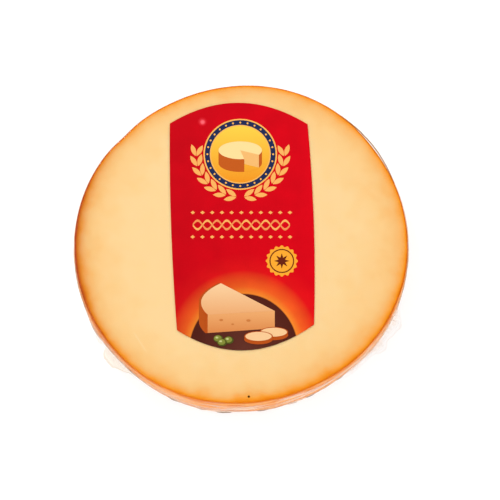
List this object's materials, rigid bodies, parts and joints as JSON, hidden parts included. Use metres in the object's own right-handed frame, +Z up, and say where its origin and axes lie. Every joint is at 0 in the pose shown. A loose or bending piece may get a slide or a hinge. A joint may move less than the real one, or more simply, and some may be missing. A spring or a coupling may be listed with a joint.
{
  "type": "sealed round slice of smoked provolone",
  "caption": "Round slice of smoked provolone with a flat cut face and an orange rind, sealed in clear shrink film with a tall red label on the face.",
  "frame": {"origin": "under the middle of the slice, on its flat back, where it rests", "axes": "+Z up through the thickness, from the back to the labelled face; +Y towards the top of the label; +X to the label's right"},
  "size_m": [0.1415, 0.1401, 0.0206],
  "materials": {
    "cheese": "smooth cream cut face that turns orange at the smoked rind",
    "film": "clear glossy shrink film, crinkled round the rim",
    "label": "glossy printed label, red with ornaments in gold and dark blue and a dark brown arch at its foot"
  },
  "bodies": {
    "root": {"sealed_slice": "cheese", "label": "label"}
  },
  "joints": []
}
